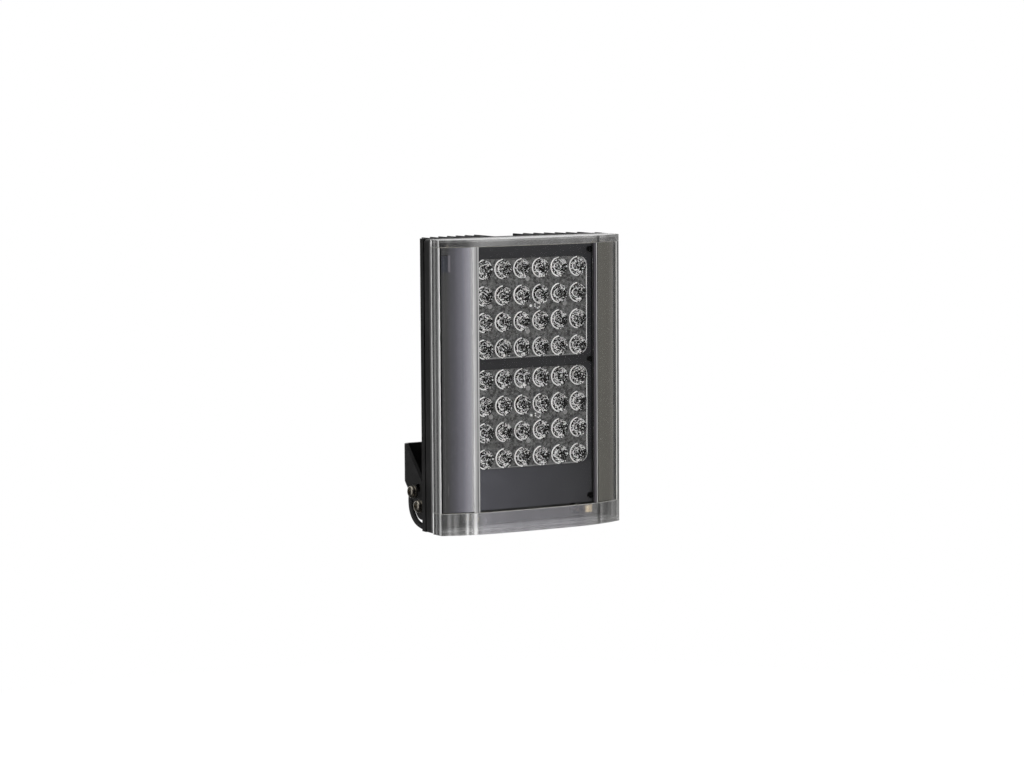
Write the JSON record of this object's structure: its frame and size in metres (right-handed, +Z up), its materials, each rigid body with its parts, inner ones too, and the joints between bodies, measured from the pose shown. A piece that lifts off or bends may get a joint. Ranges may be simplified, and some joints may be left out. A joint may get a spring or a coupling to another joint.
{
  "type": "infrared illuminator",
  "caption": "Wall-mounted infrared illuminator: bowed clear cover over two LED optic arrays, black finned heatsink head and a folded U bracket that lets it tilt.",
  "frame": {"origin": "on the wall, at the middle of the bracket web's back face and of its two wall holes", "axes": "+X to the right seen from the front, +Y backwards into the wall, +Z up; the lamp faces -Y"},
  "size_m": [0.18, 0.0985, 0.2596],
  "materials": {
    "black_casting": "satin black powder coat on die-cast aluminium",
    "clear_plastic": "clear polycarbonate, gloss",
    "grey_plastic": "satin grey moulding",
    "brass": "plain brass",
    "black_plastic": "satin black moulding",
    "clear_optic": "clear acrylic optics",
    "board": "black solder mask",
    "led": "LED packages",
    "component": "electronic components",
    "seal": "black silicone",
    "black_steel": "satin black powder coat on folded steel",
    "stainless": "stainless steel",
    "black_screw": "blackened steel",
    "lead_sheath": "black cable sheath",
    "copper_core": "cores with bare copper tips"
  },
  "bodies": {
    "bracket": {"wall_bracket": "black_steel"},
    "head": {"heatsink": "black_casting", "front_cover": "clear_plastic", "lens_insert": "clear_plastic", "wing_mask_left": "grey_plastic", "wing_mask_right": "grey_plastic", "cover_inserts": "brass", "bezel": "black_plastic", "optic_upper": "clear_optic", "optic_lower": "clear_optic", "led_board_upper": "board", "led_board_lower": "board", "leds_upper": "led", "leds_lower": "led", "driver_board": "board", "driver_parts": "component", "gasket": "seal", "pivot_bolts": "stainless", "lock_bolts": "stainless", "pivot_washers": "stainless", "lock_washers": "stainless", "bezel_screws": "black_screw", "cover_screws": "stainless", "board_screws": "stainless", "driver_screws": "stainless", "gland_body": "black_plastic", "gland_nut": "black_plastic", "lead": "lead_sheath", "lead_hank": "lead_sheath", "hank_tie": "seal", "lead_tail": "lead_sheath", "lead_end": "copper_core"}
  },
  "joints": [
    {"name": "head_tilt", "type": "hinge", "parent": "bracket", "child": "head", "pos_m": [0, -0.03625, -0.03475], "axis": [1, 0, 0], "range_deg": [-5, 30]}
  ]
}
